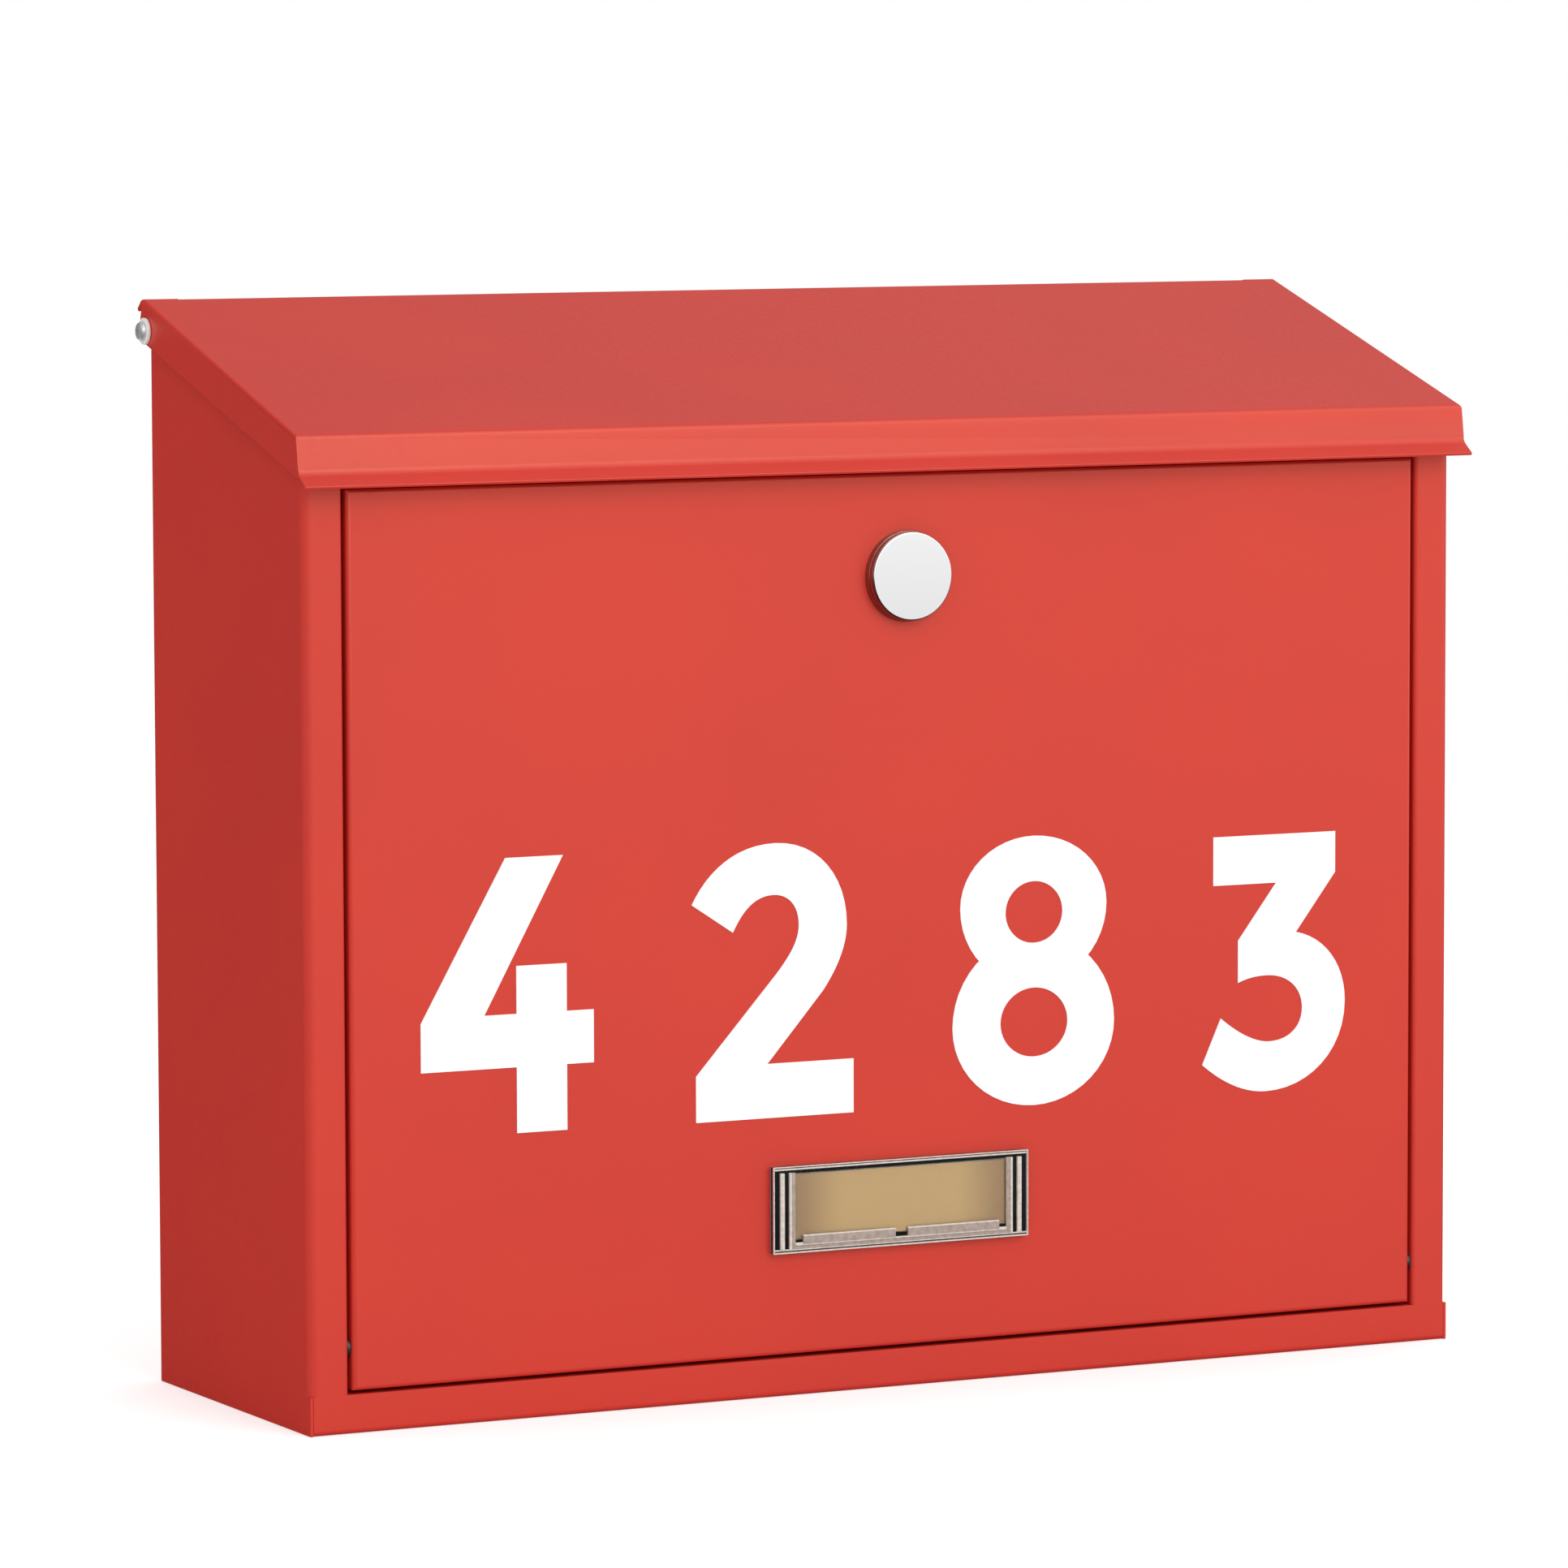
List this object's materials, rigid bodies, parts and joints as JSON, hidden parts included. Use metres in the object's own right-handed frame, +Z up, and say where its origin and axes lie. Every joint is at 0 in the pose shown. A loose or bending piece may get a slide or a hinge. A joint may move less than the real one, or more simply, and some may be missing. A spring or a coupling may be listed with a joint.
{
  "type": "wall mailbox",
  "caption": "Wall letter box of folded steel with a sloping lid over the letter slot, a bottom-hinged front door with a cam lock, a clear name plate and stuck-on house numbers.",
  "frame": {"origin": "middle of the four wall holes, on the wall's surface, which is the back face of the rubber spacers", "axes": "+X to the right seen from the front, +Y into the wall, so that the front faces -Y, +Z up"},
  "size_m": [0.3856, 0.1258, 0.3178],
  "materials": {
    "powder_coat": "satin red powder coat on sheet steel",
    "zinc_steel": "bright zinc plate",
    "chrome_plate": "polished chrome plate",
    "nylon": "natural white nylon",
    "black_nylon": "black moulded nylon",
    "plate_backing": "dark adhesive foam tape",
    "clear_plastic": "clear moulded polystyrene",
    "card": "tan printed card",
    "vinyl": "white satin vinyl film",
    "rubber": "moulded black rubber"
  },
  "bodies": {
    "box": {"body_wrap": "powder_coat", "bottom_pan": "powder_coat", "top_rail": "powder_coat", "wall_spacers": "rubber", "lid_screw_left": "zinc_steel", "lid_screw_right": "zinc_steel", "lid_washer_left": "nylon", "lid_washer_right": "nylon", "lid_bush_left": "nylon", "lid_bush_right": "nylon", "lid_nut_left": "zinc_steel", "lid_nut_right": "zinc_steel", "door_pin_left": "zinc_steel", "door_pin_right": "zinc_steel", "door_washer_left": "black_nylon", "door_washer_right": "black_nylon"},
    "lid": {"lid": "powder_coat"},
    "door": {"door_panel": "powder_coat", "lock_housing": "chrome_plate", "lock_nut": "zinc_steel", "name_backing": "plate_backing", "name_card": "card", "name_window": "clear_plastic", "number_4": "vinyl", "number_2": "vinyl", "number_8": "vinyl", "number_3": "vinyl"},
    "lock_core": {"lock_plug": "zinc_steel", "lock_cam": "zinc_steel", "cam_screw": "zinc_steel"},
    "keyhole_cover": {"lock_cover": "chrome_plate"}
  },
  "joints": [
    {"name": "lid_hinge", "type": "hinge", "parent": "box", "child": "lid", "pos_m": [0, -0.011, 0.1536], "axis": [-1, 0, 0], "range_deg": [0, 80]},
    {"name": "door_hinge", "type": "hinge", "parent": "box", "child": "door", "pos_m": [0, -0.1136, -0.1308], "axis": [1, 0, 0], "range_deg": [0, 140]},
    {"name": "lock_turn", "type": "hinge", "parent": "door", "child": "lock_core", "pos_m": [0.003, -0.11, 0.0825], "axis": [0, 1, 0], "range_deg": [0, 90]},
    {"name": "cover_swing", "type": "hinge", "parent": "door", "child": "keyhole_cover", "pos_m": [0.003, -0.1205, 0.0929], "axis": [0, 1, 0], "range_deg": [-110, 110]}
  ]
}
